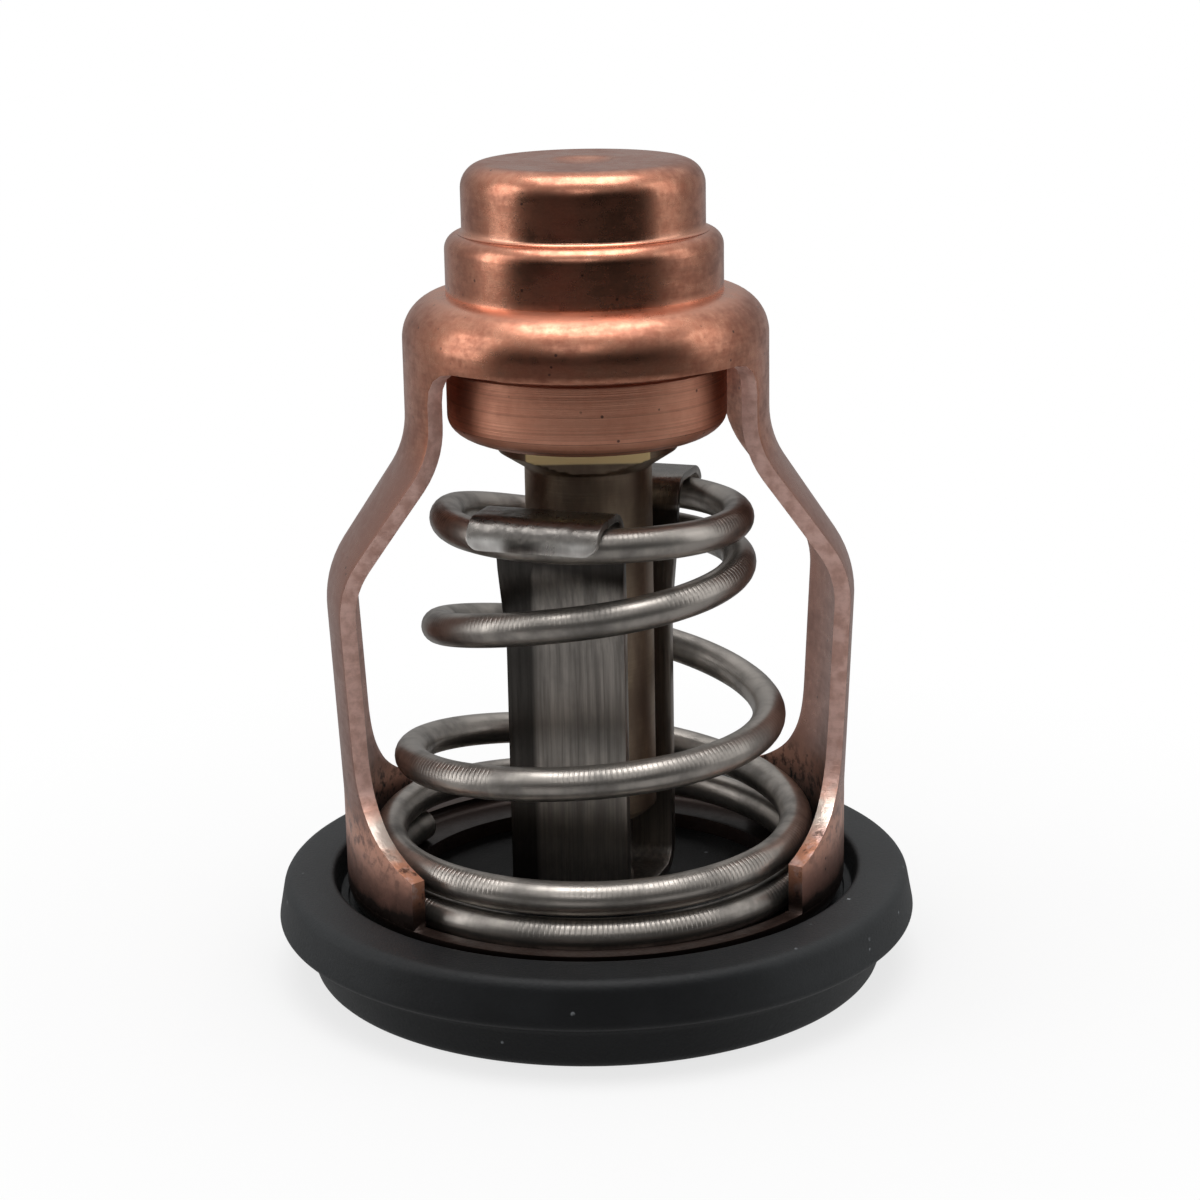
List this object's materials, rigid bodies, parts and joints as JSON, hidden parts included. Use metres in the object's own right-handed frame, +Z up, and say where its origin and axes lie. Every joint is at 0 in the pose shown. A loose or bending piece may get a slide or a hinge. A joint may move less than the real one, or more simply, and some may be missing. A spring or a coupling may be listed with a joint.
{
  "type": "engine thermostat",
  "caption": "Wax-element cooling valve: copper frame with splayed arms, stepped copper cup, brass guide, steel strap under a conical spring, and a black rubber sealing ring.",
  "frame": {"origin": "centre of the sealing ring's underside, on the valve axis", "axes": "+Z up along the valve axis towards the wax element; the frame's arms stand near +X and -X, turned about four degrees"},
  "size_m": [0.035, 0.035, 0.044],
  "materials": {
    "chafe_plastic": "white low-friction plastic, hidden",
    "diaphragm_rubber": "moulded rubber, hidden",
    "copper_cup": "drawn copper, bright shoulders and fine turning lines",
    "copper_frame": "drawn copper sheet, bright with brown patina",
    "gasket_rubber": "moulded matt black rubber",
    "brass_guide": "turned brass, dulled",
    "piston_steel": "ground stainless",
    "rivet_steel": "stainless",
    "plug_rubber": "moulded rubber, hidden",
    "spring_steel": "drawn stainless wire",
    "strap_steel": "stamped stainless sheet with lengthwise grain",
    "plate_steel": "stamped stainless sheet",
    "seal_rubber": "moulded black rubber",
    "wax_fill": "wax with metal powder, hidden"
  },
  "bodies": {
    "housing": {"frame": "copper_frame", "gasket_ring": "gasket_rubber", "element_cup": "copper_cup", "wax_charge": "wax_fill", "diaphragm": "diaphragm_rubber", "guide": "brass_guide", "rubber_plug": "plug_rubber", "spring": "spring_steel"},
    "valve": {"strap": "strap_steel", "valve_seal": "seal_rubber", "valve_plate": "plate_steel", "rivet": "rivet_steel", "piston": "piston_steel", "chafe_disc": "chafe_plastic"}
  },
  "joints": [
    {"name": "valve_slide", "type": "slide", "parent": "housing", "child": "valve", "axis": [0, 0, -1], "range_m": [0, 0.003], "stiffness_N_per_m": 800, "springref_m": -0.006, "deforming": ["spring"]}
  ]
}
